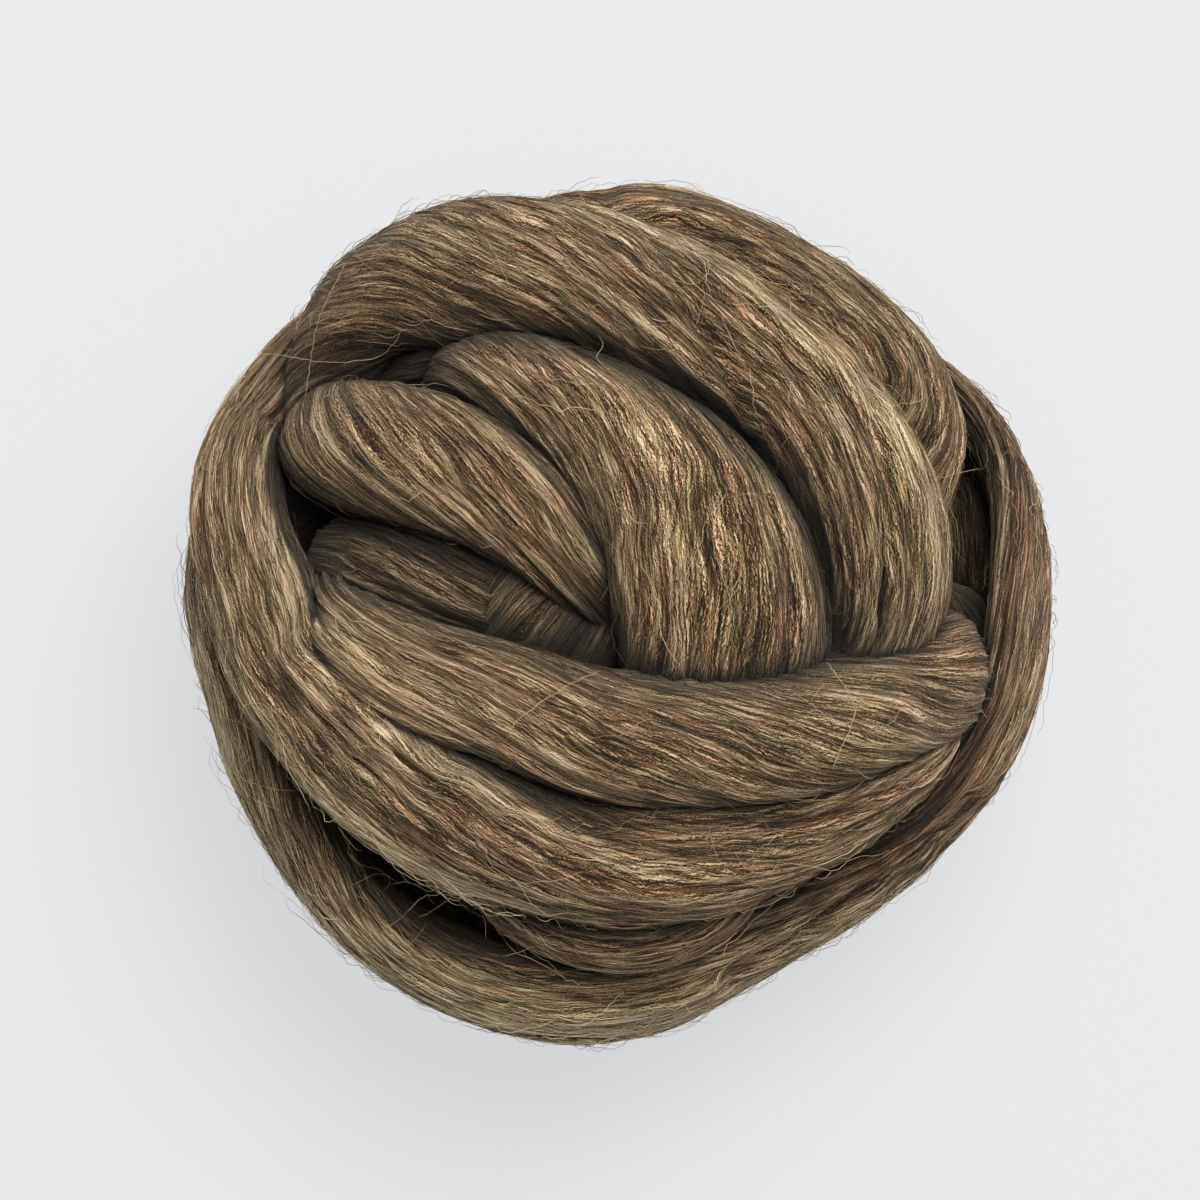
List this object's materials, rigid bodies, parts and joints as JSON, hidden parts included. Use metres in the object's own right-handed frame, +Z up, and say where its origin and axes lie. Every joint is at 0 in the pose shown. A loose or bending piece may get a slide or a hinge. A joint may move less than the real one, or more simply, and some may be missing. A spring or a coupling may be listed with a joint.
{
  "type": "wool roving ball",
  "caption": "Soft round ball wound loosely from one thick, heathered brown strand of combed wool, resting on a small flat spot.",
  "frame": {"origin": "middle of the flat spot that the ball rests on", "axes": "+Z up, away from the surface it rests on; +Y is the picture's upward direction and +X its right, seen from above"},
  "size_m": [0.1597, 0.1579, 0.1174],
  "materials": {
    "wool": "matte, fuzzy combed wool fibres in mixed browns"
  },
  "bodies": {
    "root": {"wool_ball": "wool"}
  },
  "joints": []
}
